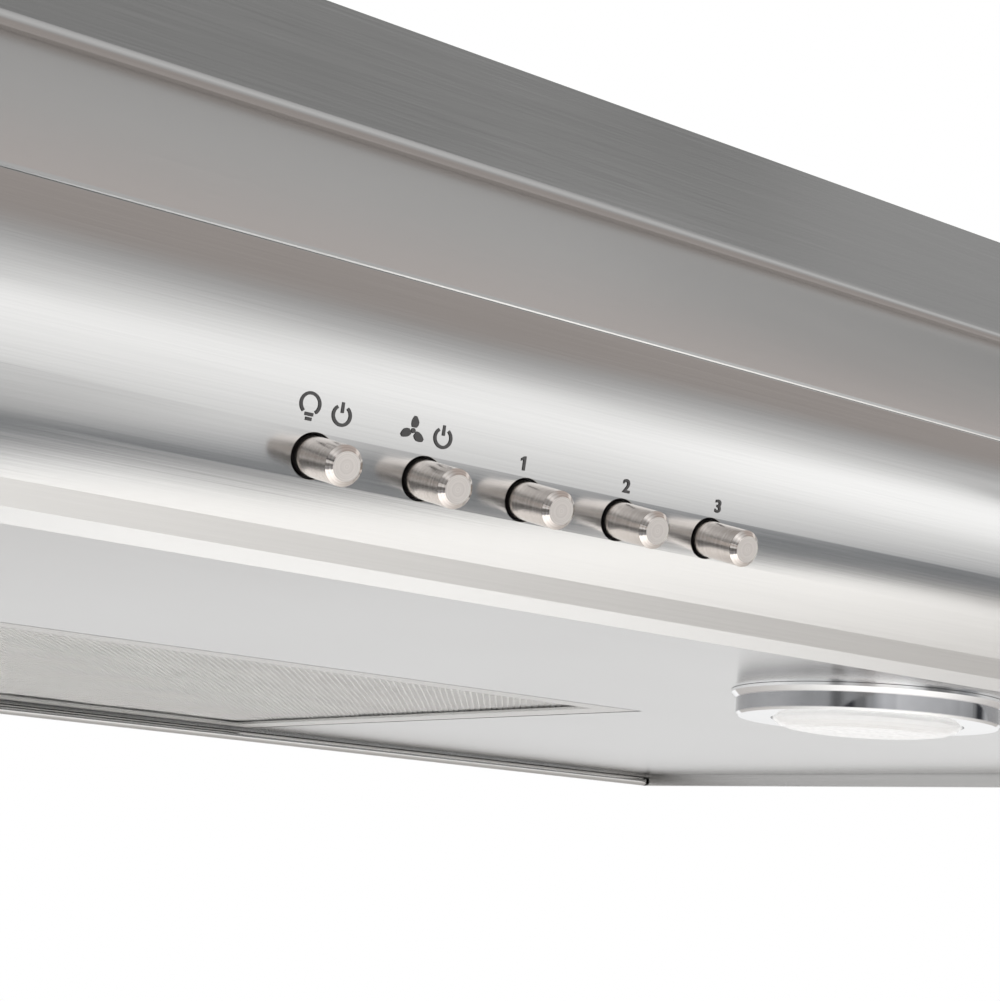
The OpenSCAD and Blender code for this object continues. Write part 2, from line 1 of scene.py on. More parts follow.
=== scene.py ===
"""Under cabinet range hood: camera, materials, mesh filter, printed marks and studio for the CAD frame."""
import json
import math

import bmesh
import bpy
from mathutils import Matrix, Vector

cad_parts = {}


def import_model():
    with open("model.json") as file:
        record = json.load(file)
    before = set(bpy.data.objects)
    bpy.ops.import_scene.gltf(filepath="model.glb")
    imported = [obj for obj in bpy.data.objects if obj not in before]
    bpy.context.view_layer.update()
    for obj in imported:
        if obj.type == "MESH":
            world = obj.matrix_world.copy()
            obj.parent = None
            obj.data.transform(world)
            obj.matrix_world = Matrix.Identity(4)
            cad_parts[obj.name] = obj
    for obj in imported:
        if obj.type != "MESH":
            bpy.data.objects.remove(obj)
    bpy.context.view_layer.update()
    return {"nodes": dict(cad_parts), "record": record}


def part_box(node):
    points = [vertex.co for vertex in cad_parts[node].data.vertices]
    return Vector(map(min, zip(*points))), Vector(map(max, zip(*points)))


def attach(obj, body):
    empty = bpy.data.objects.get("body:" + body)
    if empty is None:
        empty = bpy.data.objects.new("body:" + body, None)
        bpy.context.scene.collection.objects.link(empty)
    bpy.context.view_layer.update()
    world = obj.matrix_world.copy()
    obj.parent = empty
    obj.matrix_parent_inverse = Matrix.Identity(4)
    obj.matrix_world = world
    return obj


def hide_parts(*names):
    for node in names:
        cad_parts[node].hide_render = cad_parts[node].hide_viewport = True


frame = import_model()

NODES = frame["nodes"]
MM = 0.001

# Places in and round the hood are given in millimetres as (x, behind the nose, above the rim).
# SHIFT is where their zero lies in the frame.
SHIFT = Vector((0.0, -347.5, -235.0))
# The rounded front (nose): its radius, and the place of its centre behind the front and above the rim.
NOSE_R = 58.4
NOSE_Y = 58.4
NOSE_Z = 45.8
# The buttons: slope of their axes in degrees, their faces' distance from the nose centre, and their chamfer.
BUTTON_ANGLE = -16.0
BUTTON_TOP = 73.8
BUTTON_CHAMFER = 1.3
BUTTONS = ["button_light", "button_fan", "button_speed_1", "button_speed_2", "button_speed_3"]


def at(x, y, z):
    """The frame's place, in metres, of one that is given in millimetres from the front of the rim."""
    return (Vector((x, y, z)) + SHIFT) * MM


# ---- Camera ----

# Where the camera stands, which way it looks, what lies to its right, its lens in millimetres, and the
# nearest distance that it sees, in metres.
CAMERA_PLACE = (-270.25, -372.2, -59.3)
CAMERA_AHEAD = (0.5648, 0.8036, 0.1883)
CAMERA_RIGHT = (0.808, -0.5845, 0.0705)
FOCAL_LENGTH = 71.5
SENSOR_WIDTH = 36.0
NEAREST = 0.01


def make_camera():
    right = Vector(CAMERA_RIGHT).normalized()
    ahead = Vector(CAMERA_AHEAD).normalized()
    up = right.cross(ahead).normalized()
    right = ahead.cross(up).normalized()
    data = bpy.data.cameras.new("camera")
    data.lens = FOCAL_LENGTH
    data.sensor_width = SENSOR_WIDTH
    data.clip_start = NEAREST
    cam = bpy.data.objects.new("camera", data)
    bpy.context.scene.collection.objects.link(cam)
    turn = Matrix((right, up, -ahead)).transposed().to_4x4()
    cam.matrix_world = Matrix.Translation(at(*CAMERA_PLACE)) @ turn
    bpy.context.scene.camera = cam


make_camera()


# ---- Node helpers ----

NOISE_ROUGHNESS = 0.55


class Tree:
    """A node tree with short calls for the nodes used here."""

    def __init__(self, tree):
        self.tree = tree

    def node(self, kind, **settings):
        n = self.tree.nodes.new("ShaderNode" + kind)
        for key, value in settings.items():
            setattr(n, key, value)
        return n

    def link(self, a, b):
        self.tree.links.new(a, b)

    def math(self, op, a, b=0.0):
        m = self.node("Math", operation=op)
        for i, v in enumerate((a, b)):
            if isinstance(v, (int, float)):
                m.inputs[i].default_value = v
            else:
                self.link(v, m.inputs[i])
        return m.outputs[0]

    def add(self, a, b):
        return self.math("ADD", a, b)

    def minus(self, a, b):
        return self.math("SUBTRACT", a, b)

    def times(self, a, b):
        return self.math("MULTIPLY", a, b)

    def split(self, vector):
        """The x, y and z of a vector."""
        n = self.node("SeparateXYZ")
        self.link(vector, n.inputs[0])
        return n.outputs

    def mix(self, fac, a, b):
        """A colour that goes from a to b; each is a socket or a plain colour."""
        m = self.node("Mix", data_type="RGBA")
        self.link(fac, m.inputs["Factor"])
        for key, c in (("A", a), ("B", b)):
            if isinstance(c, tuple):
                m.inputs[key].default_value = (*c, 1.0)
            else:
                self.link(c, m.inputs[key])
        return m.outputs["Result"]

    def ramp(self, fac, stops, low=0.0, high=1.0):
        """Colours or grey tones at their places on the scale low to high; fac goes from 0 to 1."""
        r = self.node("ValToRGB")
        while len(r.color_ramp.elements) < len(stops):
            r.color_ramp.elements.new(0.5)
        for e, (p, c) in zip(r.color_ramp.elements, stops):
            e.position = (p - low) / (high - low)
            e.color = (*c, 1.0) if isinstance(c, tuple) else (c, c, c, 1.0)
        self.link(fac, r.inputs["Fac"])
        return r.outputs["Color"]

    def span(self, fac, low, high, frm=(0.3, 0.7)):
        """A value that goes from low to high as fac goes across frm, and stays there beyond it."""
        m = self.node("MapRange")
        m.inputs["From Min"].default_value, m.inputs["From Max"].default_value = frm
        m.inputs["To Min"].default_value, m.inputs["To Max"].default_value = low, high
        self.link(fac, m.inputs["Value"])
        return m.outputs["Result"]


class Graph(Tree):
    """A new material's node tree, with its shader."""

    def __init__(self, name):
        self.material = bpy.data.materials.new(name)
        self.material.use_nodes = True
        super().__init__(self.material.node_tree)
        self.shader = self.tree.nodes["Principled BSDF"]

    def put(self, **values):
        for key, value in values.items():
            self.shader.inputs[key.replace("_", " ")].default_value = value

    def coords(self, scale, offset=(0, 0, 0)):
        """Places on the object at rest, in metres, times the scale on each axis."""
        tex = self.node("TexCoord")
        m = self.node("Mapping")
        m.inputs["Scale"].default_value = scale
        m.inputs["Location"].default_value = offset
        self.link(tex.outputs["Object"], m.inputs["Vector"])
        return m.outputs["Vector"]

    def noise(self, vector, detail=3.0):
        """Noise whose scale is that of the vector."""
        n = self.node("TexNoise")
        n.inputs["Scale"].default_value = 1.0
        n.inputs["Detail"].default_value = detail
        n.inputs["Roughness"].default_value = NOISE_ROUGHNESS
        self.link(vector, n.inputs["Vector"])
        return n.outputs["Fac"]

    def bump(self, height, strength, distance):
        b = self.node("Bump")
        b.inputs["Strength"].default_value = strength
        b.inputs["Distance"].default_value = distance
        self.link(height, b.inputs["Height"])
        self.link(b.outputs["Normal"], self.shader.inputs["Normal"])

    def tangent(self, direction):
        c = self.node("CombineXYZ")
        for i in range(3):
            c.inputs[i].default_value = direction[i]
        self.link(c.outputs[0], self.shader.inputs["Tangent"])


# ---- Finishes ----

def shade(c, k):
    """A colour made lighter or darker."""
    return tuple(max(0.0, min(1.0, v * k)) for v in c)


# Brushed sheet: noise cells per metre along and across its scratches, and how much coarser its streaks are.
SCRATCH_ALONG = 20.0
SCRATCH_ACROSS = 3100
STREAK = 0.4


def brushed(name, colour, rough, grain="x", contrast=0.03, depth=0.000012, aniso=0.6):
    """Brushed sheet: long fine scratches along one axis, with faint cloudy wear."""
    g = Graph(name)
    axis = "xyz".index(grain)
    fine = tuple(SCRATCH_ALONG if i == axis else SCRATCH_ACROSS for i in range(3))
    coarse = tuple(v * STREAK for v in fine)
    scratches = g.noise(g.coords(fine), detail=2.0)
    streaks = g.noise(g.coords(coarse, (3.1, 1.7, 0.4)), detail=2.0)
    cloud = g.noise(g.coords((7, 7, 7), (0.3, 4.1, 2.2)), detail=3.0)
    mixed = g.add(g.times(scratches, 0.75), g.times(streaks, 0.25))
    tones = [(0.36, shade(colour, 1 - contrast)), (0.5, colour), (0.66, shade(colour, 1 + contrast))]
    g.link(g.ramp(mixed, tones), g.shader.inputs["Base Color"])
    low = g.span(mixed, rough - 0.02, rough + 0.02)
    g.link(g.add(low, g.span(cloud, -0.01, 0.01)), g.shader.inputs["Roughness"])
    g.put(Metallic=1.0, Anisotropic=aniso)
    g.shader.inputs["Anisotropic Rotation"].default_value = 0.25
    g.tangent(tuple(float(i == axis) for i in range(3)))
    g.bump(mixed, 0.5, depth)
    return g.material


def galvanised(name, colour):
    """Zinc coated sheet with a soft crystal pattern."""
    g = Graph(name)
    cells = g.node("TexVoronoi")
    cells.inputs["Scale"].default_value = 90
    tex = g.node("TexCoord")
    g.link(tex.outputs["Object"], cells.inputs["Vector"])
    cloud = g.noise(g.coords((22, 22, 22)), detail=4.0)
    fac = g.add(g.times(cells.outputs["Color"], 0.35), g.times(cloud, 0.65))
    g.link(
        g.ramp(fac, [(0.25, shade(colour, 0.82)), (0.5, colour), (0.8, shade(colour, 1.12))]),
        g.shader.inputs["Base Color"],
    )
    g.link(g.span(fac, 0.32, 0.5), g.shader.inputs["Roughness"])
    g.put(Metallic=1.0)
    g.bump(cloud, 0.3, 0.0001)
    return g.material


def moulded(name, colour, rough, speck=1760.0, coat=0.0):
    """Plastic or paint with a fine moulded grain of speck cells per metre."""
    g = Graph(name)
    grain = g.noise(g.coords((speck, speck, speck)), detail=2.0)
    cloud = g.noise(g.coords((30, 30, 30)), detail=2.0)
    g.link(
        g.ramp(cloud, [(0.3, shade(colour, 0.86)), (0.7, shade(colour, 1.12))]),
        g.shader.inputs["Base Color"],
    )
    g.link(g.span(grain, rough - 0.06, rough + 0.08), g.shader.inputs["Roughness"])
    g.shader.inputs["Coat Weight"].default_value = coat
    g.bump(grain, 0.35, 0.00006)
    return g.material


# The lamp rings: how far they hang below the underside, and the distances over which the painted shade on
# their wall starts above their lower face and ends below their rim.
RING_DROP = 8.0
WALL_START = (0.5, 1.0)
WALL_END = (2.8, 2.3)


def chrome():
    """Lamp ring chrome: polished face and edges, and painted shade that darkens the wall between them."""
    g = Graph("chrome")
    haze = g.noise(g.coords((60, 60, 60)), detail=3.0)
    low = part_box("lamp_ring_left")[0].z
    rim = low + RING_DROP * MM
    height = g.split(g.coords((1, 1, 1)))["Z"]
    off_face = g.span(height, 0, 1, tuple(low + d * MM for d in WALL_START))
    below_rim = g.span(height, 1, 0, tuple(rim - d * MM for d in WALL_END))
    polished = g.ramp(haze, [(0.3, (0.93, 0.94, 0.95)), (0.7, (0.97, 0.97, 0.975))])
    # Painted shade: the wall between the face and the rim is given a much darker chrome colour than the face.
    painted_shade_wall = g.ramp(haze, [(0.3, (0.40, 0.405, 0.42)), (0.7, (0.48, 0.485, 0.50))])
    g.link(g.mix(g.times(off_face, below_rim), polished, painted_shade_wall), g.shader.inputs["Base Color"])
    g.link(g.span(haze, 0.05, 0.10), g.shader.inputs["Roughness"])
    g.put(Metallic=1.0)
    return g.material


# Turning marks on the buttons: noise cells per metre.
TURNING = 3800


def turned(name, centre, axis):
    """Button steel: turned side, polished chamfer, and a dull face with faint rings round its own axis."""
    g = Graph(name)
    tex = g.node("TexCoord")
    sub = g.node("VectorMath", operation="SUBTRACT")
    sub.inputs[1].default_value = centre
    g.link(tex.outputs["Object"], sub.inputs[0])
    out = g.node("VectorMath", operation="CROSS_PRODUCT")
    out.inputs[1].default_value = axis
    g.link(sub.outputs[0], out.inputs[0])
    length = g.node("VectorMath", operation="LENGTH")
    g.link(out.outputs[0], length.inputs[0])
    along = g.node("VectorMath", operation="DOT_PRODUCT")
    along.inputs[1].default_value = axis
    g.link(sub.outputs[0], along.inputs[0])
    reach = along.outputs["Value"]
    rings = g.node("TexNoise", noise_dimensions="2D")
    rings.inputs["Scale"].default_value = TURNING
    rings.inputs["Detail"].default_value = 1.0
    place = g.node("CombineXYZ")
    g.link(length.outputs["Value"], place.inputs[0])
    g.link(reach, place.inputs[1])
    g.link(place.outputs[0], rings.inputs["Vector"])
    fac = rings.outputs["Fac"]
    top = BUTTON_TOP * MM
    edge = (BUTTON_TOP - BUTTON_CHAMFER) * MM
    past_side = g.span(reach, 0, 1, (edge - 0.04 * MM, edge + 0.04 * MM))
    face = g.span(reach, 0, 1, (top - 0.06 * MM, top - 0.02 * MM))
    side_tint = g.ramp(fac, [(0.3, (0.76, 0.70, 0.66)), (0.7, (0.88, 0.83, 0.79))])
    face_tint = g.ramp(fac, [(0.3, (0.78, 0.73, 0.69)), (0.7, (0.87, 0.82, 0.78))])
    g.link(g.mix(face, side_tint, face_tint), g.shader.inputs["Base Color"])
    dull = g.add(g.span(fac, 0.20, 0.26), g.times(past_side, -0.12))
    g.link(g.add(dull, g.times(face, 0.30)), g.shader.inputs["Roughness"])
    g.put(Metallic=1.0)
    g.bump(fac, 0.4, 0.000008)
    return g.material


def frosted(name, colour, rough, transmission, glow=0.0):
    """Frosted glass that lets a little light through and may glow faintly."""
    g = Graph(name)
    grain = g.noise(g.coords((500, 500, 500)), detail=1.0)
    g.link(
        g.ramp(grain, [(0.3, shade(colour, 0.98)), (0.7, colour)]),
        g.shader.inputs["Base Color"],
    )
    g.link(g.span(grain, rough - 0.05, rough + 0.05), g.shader.inputs["Roughness"])
    g.shader.inputs["Transmission Weight"].default_value = transmission
    g.shader.inputs["IOR"].default_value = 1.5
    if glow:
        g.shader.inputs["Emission Color"].default_value = (*colour, 1)
        g.shader.inputs["Emission Strength"].default_value = glow
    g.bump(grain, 0.1, 0.00001)
    return g.material


# The distances over which the mesh darkens, above its lower face and below its upper one.
MESH_LOW = (1.3, 2.6)
MESH_HIGH = (4.0, 2.6)


def mesh_metal():
    """Mesh aluminium: bright strands on both faces, darker inside, as its layers shade one another."""
    g = Graph("mesh_aluminium")
    lo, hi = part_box("filter_mesh")
    height = g.split(g.coords((1, 1, 1)))["Z"]
    from_below = g.span(height, 0, 1, tuple(lo.z + d * MM for d in MESH_LOW))
    from_above = g.span(height, 1, 0, tuple(hi.z - d * MM for d in MESH_HIGH))
    depth = g.times(from_below, from_above)
    dust = g.noise(g.coords((180, 180, 180)), detail=3.0)
    fac = g.add(depth, g.span(dust, -0.06, 0.06))
    tones = [(0.05, (0.97, 0.97, 0.96)), (0.45, (0.74, 0.74, 0.735)), (0.95, (0.44, 0.44, 0.435))]
    g.link(g.ramp(fac, tones), g.shader.inputs["Base Color"])
    g.link(g.span(dust, 0.46, 0.58), g.shader.inputs["Roughness"])
    g.put(Metallic=0.45)
    return g.material


STEEL = (0.60, 0.597, 0.59)
BRUSHED_X = brushed("brushed_steel_x", STEEL, 0.155)
BRUSHED_Y = brushed("brushed_steel_y", STEEL, 0.25, grain="y")
UNDERSIDE = brushed(
    "polished_underside", (0.62, 0.62, 0.617), 0.20, contrast=0.01, depth=0.000004, aniso=0.3
)
ZINC = galvanised("galvanised_sheet", (0.60, 0.62, 0.64))
PAINT = moulded("motor_paint", (0.12, 0.125, 0.13), 0.42, coat=0.3)
BRIGHT = brushed("bright_zinc", (0.70, 0.70, 0.69), 0.25, depth=0.00001)
WHITE = moulded("white_plastic", (0.80, 0.80, 0.77), 0.45)
BLACK = moulded("black_plastic", (0.014, 0.014, 0.015), 0.45)
WIRE = moulded("wire_sheath", (0.02, 0.02, 0.022), 0.38, speck=960.0)
CHROME = chrome()
LENS = frosted("frosted_lens", (0.96, 0.96, 0.955), 0.22, 0.12, glow=0.13)
BULB = frosted("lamp_bulb", (0.96, 0.95, 0.92), 0.4, 0.3)
ALU = brushed("filter_aluminium", (0.78, 0.78, 0.77), 0.28, depth=0.00001)
MESH = mesh_metal()
PRINT = moulded("printed_mark", (0.085, 0.083, 0.083), 0.6)

# The material of each slot in the record.
FINISH = {
    "steel_body": BRUSHED_X,
    "steel_polished": UNDERSIDE,
    "zinc_sheet": ZINC,
    "motor_paint": PAINT,
    "shaft_steel": BRIGHT,
    "white_plastic": WHITE,
    "black_plastic": BLACK,
    "chrome": CHROME,
    "lens_glass": LENS,
    "bulb_glass": BULB,
    "filter_aluminium": ALU,
    "mesh_aluminium": MESH,
    "wire_plastic": WIRE,
}


def paint(obj, material):
    obj.data.materials.clear()
    obj.data.materials.append(material)


SLOT_OF = {s["node"]: s["material_slot"] for s in frame["record"]["subparts"]}
for name, obj in NODES.items():
    if SLOT_OF[name] in FINISH:
        paint(obj, FINISH[SLOT_OF[name]])
for name in ("side_panel_left", "side_panel_right"):
    paint(NODES[name], BRUSHED_Y)


def nose(phi, r):
    """A place on a circle round the nose centre, phi degrees above its level."""
    a = math.radians(phi)
    return NOSE_Y - r * math.cos(a), NOSE_Z + r * math.sin(a)


def button_x(i):
    lo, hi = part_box(BUTTONS[i])
    return (lo.x + hi.x) / 2 / MM


AXIS = Vector((0, -math.cos(math.radians(BUTTON_ANGLE)), math.sin(math.radians(BUTTON_ANGLE))))
for i, name in enumerate(BUTTONS):
    paint(NODES[name], turned("turned_" + name, at(button_x(i), NOSE_Y, NOSE_Z), AXIS))


# ---- Pieces ----

def mesh_object(name, verts, faces, material, body):
    data = bpy.data.meshes.new(name)
    data.from_pydata([tuple(v) for v in verts], [], faces)
    data.update()
    obj = bpy.data.objects.new(name, data)
    bpy.context.scene.collection.objects.link(obj)
    obj.data.materials.append(material)
    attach(obj, body)
    return obj


# Half the width and the thickness of a mesh strand, and the thickness of the crumpled middle layer.
STRAND_HALF = 0.28
STRAND_THICK = 0.22
CORE_THICK = 0.3
CORE_CELLS = (120, 90)
# The expanded layers: distance above the lower face, or below the upper one where it is negative, spacing of
# the strands' bends along and across them, height of their waves, and whether they run along y.
LAYERS = [
    (0.7, 2.8, 1.9, 0.12, False),
    (1.9, 3.8, 2.5, 0.20, True),
    (-1.9, 5.5, 3.4, 0.35, False),
]


def expanded_layer(z, pitch_x, pitch_y, wave, swap):
    """One layer of expanded mesh: zigzag strands that meet at their knuckles, along y where swap is set."""
    lo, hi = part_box("filter_mesh")
    x0, x1, y0, y1 = lo.x / MM, hi.x / MM, lo.y / MM, hi.y / MM
    if swap:
        x0, x1, y0, y1 = y0, y1, x0, x1
    nx = int((x1 - x0) / (pitch_x / 2))
    ny = int((y1 - y0) / pitch_y)
    step = (x1 - x0) / nx
    rise = (y1 - y0) / ny
    half, thick = STRAND_HALF, STRAND_THICK
    verts, faces = [], []
    for j in range(ny):
        base = len(verts)
        mid = y0 + (j + 0.5) * rise
        sign = 1 if j % 2 else -1
        for i in range(nx + 1):
            x = x0 + i * step
            zig = (rise / 2 - half) * (1 if i % 2 else -1) * sign
            y = mid + zig
            lift = wave * (math.sin(x / 9.0 + 1.7 * math.sin(y / 31.0)) + 0.5 * math.sin(y / 6.3))
            for dy, dz in ((-half, 0), (half, 0), (half, thick), (-half, thick)):
                px, py = (y + dy, x) if swap else (x, y + dy)
                verts.append((px * MM, py * MM, (z + lift + dz) * MM))
            if i:
                a, b = base + 4 * (i - 1), base + 4 * i
                for k in range(4):
                    faces.append((a + k, b + k, b + (k + 1) % 4, a + (k + 1) % 4))
        end = len(verts) - 4
        faces.append((base, base + 1, base + 2, base + 3))
        faces.append((end + 3, end + 2, end + 1, end))
    return verts, faces


def rippled_core(z):
    """The crumpled middle layer that closes the view through the mesh."""
    lo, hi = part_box("filter_mesh")
    x0, x1, y0, y1 = lo.x / MM, hi.x / MM, lo.y / MM, hi.y / MM
    nx, ny = CORE_CELLS
    verts = []
    for side in (0, 1):
        for j in range(ny + 1):
            for i in range(nx + 1):
                x = x0 + (x1 - x0) * i / nx
                y = y0 + (y1 - y0) * j / ny
                wave = 0.5 * math.sin(x / 4.1 + 2 * math.sin(y / 23)) * math.sin(y / 3.7 + math.sin(x / 31))
                verts.append((x * MM, y * MM, (z + wave + CORE_THICK * side) * MM))
    row, layer = nx + 1, (nx + 1) * (ny + 1)
    faces = []
    for j in range(ny):
        for i in range(nx):
            a = j * row + i
            quad = (a, a + 1, a + 1 + row, a + row)
            faces.append(quad[::-1])
            faces.append(tuple(q + layer for q in quad))
    rim = list(range(row)) + [j * row + nx for j in range(1, ny + 1)]
    rim += [ny * row + i for i in range(nx - 1, -1, -1)] + [j * row for j in range(ny - 1, 0, -1)]
    for a, b in zip(rim, rim[1:] + rim[:1]):
        faces.append((a, b, b + layer, a + layer))
    return verts, faces


def make_filter():
    """Two fine layers below, the crumpled core, and a coarse layer above, as one piece."""
    lo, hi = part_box("filter_mesh")
    low, high = lo.z / MM, hi.z / MM
    layers = [expanded_layer((low if z > 0 else high) + z, *rest) for z, *rest in LAYERS]
    layers.append(rippled_core((low + high) / 2))
    verts, faces = [], []
    for layer_verts, layer_faces in layers:
        k = len(verts)
        verts += layer_verts
        faces += [tuple(i + k for i in face) for face in layer_faces]
    obj = mesh_object("filter_mesh_layers", verts, faces, MESH, "filter")
    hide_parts("filter_mesh")


make_filter()


# Printed marks: thickness of the ink and its clearance, width of a stroke, and for numerals and pictograms
# their size, the degrees of their lower edge above the nose centre, and their shift from each button. The
# numerals' outline is grown by NUMERAL_BOLD of their font's size.
INK = 0.05
INK_GAP = 0.02
STROKE = 0.43
NUMERAL_HEIGHT = 3.4
NUMERAL_BOLD = 0.03
NUMERAL_BASE = -9.3
NUMERAL_SHIFT = (-2.2, 0.3, 1.3)
PICTOGRAM_SCALE = 1.75
PICTOGRAM_BASE = -8.9
PICTOGRAM_SHIFT = (1.2, -0.6)


def print_on_nose(name, bm, x, phi, scale=1.0):
    """Lays flat artwork, in millimetres, on the rounded front at x and phi, as a thin closed ink layer."""
    bmesh.ops.remove_doubles(bm, verts=bm.verts[:], dist=0.001)
    grown = bmesh.ops.extrude_face_region(bm, geom=bm.faces[:])
    for v in grown["geom"]:
        if isinstance(v, bmesh.types.BMVert):
            v.co.z = INK
    bmesh.ops.recalc_face_normals(bm, faces=bm.faces[:])
    for v in bm.verts:
        y, z = nose(phi + math.degrees(v.co.y * scale / NOSE_R), NOSE_R + INK_GAP + v.co.z)
        v.co = at(x + v.co.x * scale, y, z)
    data = bpy.data.meshes.new(name)
    bm.normal_update()
    bm.to_mesh(data)
    bm.free()
    obj = bpy.data.objects.new(name, data)
    bpy.context.scene.collection.objects.link(obj)
    data.materials.append(PRINT)
    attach(obj, "hood")


def numeral(digit, height):
    """A digit as flat faces, its middle at x = 0 and its foot at y = 0."""
    curve = bpy.data.curves.new("digit", "FONT")
    curve.body = digit
    curve.align_x = "CENTER"
    curve.offset = NUMERAL_BOLD
    obj = bpy.data.objects.new("digit", curve)
    bpy.context.scene.collection.objects.link(obj)
    bpy.context.view_layer.update()
    data = bpy.data.meshes.new_from_object(obj.evaluated_get(bpy.context.evaluated_depsgraph_get()))
    bpy.data.objects.remove(obj)
    bm = bmesh.new()
    bm.from_mesh(data)
    ys = [v.co.y for v in bm.verts]
    xs = [v.co.x for v in bm.verts]
    k = height / (max(ys) - min(ys))
    mid = (max(xs) + min(xs)) / 2
    for v in bm.verts:
        v.co = Vector(((v.co.x - mid) * k, (v.co.y - min(ys)) * k, 0))
    return bm


def numeral_one(height):
    """A one with a flag, drawn as a single outline."""
    bm = bmesh.new()
    outline = [(-0.05, 0), (0.17, 0), (0.17, 1), (0.02, 1), (-0.24, 0.82), (-0.24, 0.63), (-0.05, 0.75)]
    bm.faces.new([bm.verts.new((x * height, y * height, 0)) for x, y in outline])
    return bm


def band(bm, points):
    """A flat stroke along the points."""
    last = len(points) - 1
    rows = []
    for i, (x, y) in enumerate(points):
        a = points[max(i - 1, 0)]
        b = points[min(i + 1, last)]
        d = Vector((b[0] - a[0], b[1] - a[1])).normalized()
        s = Vector((-d.y, d.x)) * STROKE / 2
        rows.append([bm.verts.new((x + s.x * k, y + s.y * k, 0)) for k in (1, -1)])
    for a, b in zip(rows, rows[1:]):
        bm.faces.new((a[0], a[1], b[1], b[0]))


def arc(cx, cy, r, a0, a1, steps=20):
    """Points on a circle from a0 to a1 degrees."""
    return [
        (cx + r * math.cos(math.radians(a0 + (a1 - a0) * i / steps)),
         cy + r * math.sin(math.radians(a0 + (a1 - a0) * i / steps)))
        for i in range(steps + 1)
    ]


def power_mark(bm):
    """The usual on and off sign: an open ring with a bar in its gap."""
    x, y, r = 2.3, 1.7, 1.25
    band(bm, arc(x, y, r, 125, 415))
    band(bm, [(x, y + 0.25 * r), (x, y + 1.35 * r)])


def lamp_mark():
    """A bulb over its two contacts, beside the on and off sign."""
    bm = bmesh.new()
    band(bm, arc(-2.4, 2.3, 1.35, -50, 230, 24))
    band(bm, [(-3.0, 0.95), (-1.8, 0.95)])
    band(bm, [(-2.85, 0.35), (-1.95, 0.35)])
    power_mark(bm)
    return bm


# The fan sign: distances from its middle at which a blade's edges are drawn, and its hub.
BLADE_RADII = (0.45, 0.8, 1.2, 1.6, 1.95)
HUB_RADIUS = 0.34
HUB_SIDES = 12


def fan_mark():
    """Three curved blades round a hub, beside the on and off sign."""
    bm = bmesh.new()
    hub = Vector((-2.4, 1.8))
    for k in range(3):
        turn = Matrix.Rotation(math.radians(90 + 120 * k), 2)
        lead = [Vector((r, 0.42 * math.sin(math.pi * r / 2.1))) for r in BLADE_RADII]
        trail = [Vector((r, -0.75 * math.sin(math.pi * min(r, 1.9) / 2.2))) for r in BLADE_RADII[::-1]]
        points = [hub + turn @ p for p in lead + trail]
        bm.faces.new([bm.verts.new((p.x, p.y, 0)) for p in reversed(points)])
    turns = [math.tau * i / HUB_SIDES for i in range(HUB_SIDES)]
    rim = [hub + HUB_RADIUS * Vector((math.cos(a), math.sin(a))) for a in turns]
    bm.faces.new([bm.verts.new((p.x, p.y, 0)) for p in rim])
    power_mark(bm)
    return bm


def make_marks():
    for i, art in enumerate((lamp_mark(), fan_mark())):
        x = button_x(i) + PICTOGRAM_SHIFT[i]
        print_on_nose("mark_" + ("light", "fan")[i], art, x, PICTOGRAM_BASE, PICTOGRAM_SCALE)
    for i in range(3):
        x = button_x(i + 2) + NUMERAL_SHIFT[i]
        art = numeral(str(i + 1), NUMERAL_HEIGHT) if i else numeral_one(NUMERAL_HEIGHT)
        print_on_nose("mark_speed_%d" % (i + 1), art, x, NUMERAL_BASE)


make_marks()


# ---- Studio ----

# Blender's energy of an area light for each unit of its radiance and its area, and the share of a faded
# softbox's width over which its left end comes up to full strength.
ENERGY = 4
SOFT_END = 0.2


def softbox(name, place, aim, size, radiance, roll=0.0, fade=None, glossy=True):
    """A rectangular light that the camera doesn't see; fade is its tone from one long edge to the other."""
    data = bpy.data.lights.new(name, "AREA")
    data.shape = "RECTANGLE"
    data.size, data.size_y = size
    data.energy = radiance * ENERGY * size[0] * size[1]
    obj = bpy.data.objects.new(name, data)
    bpy.context.scene.collection.objects.link(obj)
    facing = (Vector(aim) - Vector(place)).to_track_quat("-Z", "Y").to_matrix()
    turn = facing @ Matrix.Rotation(math.radians(roll), 3, "Z")
    obj.matrix_world = Matrix.Translation(place) @ turn.to_4x4()
    obj.visible_camera = False
    obj.visible_glossy = glossy
    if fade:
        data.use_nodes = True
        t = Tree(data.node_tree)
        glow = data.node_tree.nodes["Emission"]
        across, up, _ = t.split(t.node("NewGeometry").outputs["Parametric"])
        t.link(t.ramp(up, fade), glow.inputs["Color"])
        t.link(t.span(across, 0, 1, (0, SOFT_END)), glow.inputs["Strength"])


# Tone of the surroundings by degrees round the hood's long axis: 0 in front, 90 above, 180 behind.
WARM = (0.435, 0.395, 0.375)
BLUE = (0.235, 0.245, 0.26)
CEILING = (0.84, 0.80, 0.77)
ROOM = [
    (-180, 0.73), (-175, 0.80), (-171, 0.96), (-150, 1.08), (-100, 1.08), (-75, 1.15), (-60, 1.38),
    (-45, 1.60), (-38.5, 1.45), (-36, 0.80), (-32, 0.38), (-28, BLUE), (-13, BLUE), (-7, 0.32),
    (5, 0.42), (30, 0.42), (36, 0.72), (42, 0.80), (48, 0.62), (54, 0.50), (61, WARM),
    (90, (0.46, 0.42, 0.40)), (96, CEILING), (126, CEILING), (134, (0.51, 0.46, 0.44)),
    (150, (0.49, 0.45, 0.43)), (166, (0.60, 0.58, 0.56)), (180, 0.72),
]
# Below SKEW_BELOW degrees, the bands left of the direction SKEW_X lean by SKEW degrees for each 1 of x; those
# right of it lean by SKEW_RIGHT at every height.
SKEW_X = 0.56
SKEW = 85.0
SKEW_BELOW = 6.0
SKEW_FADE = 0.07
SKEW_RIGHT = 120.0
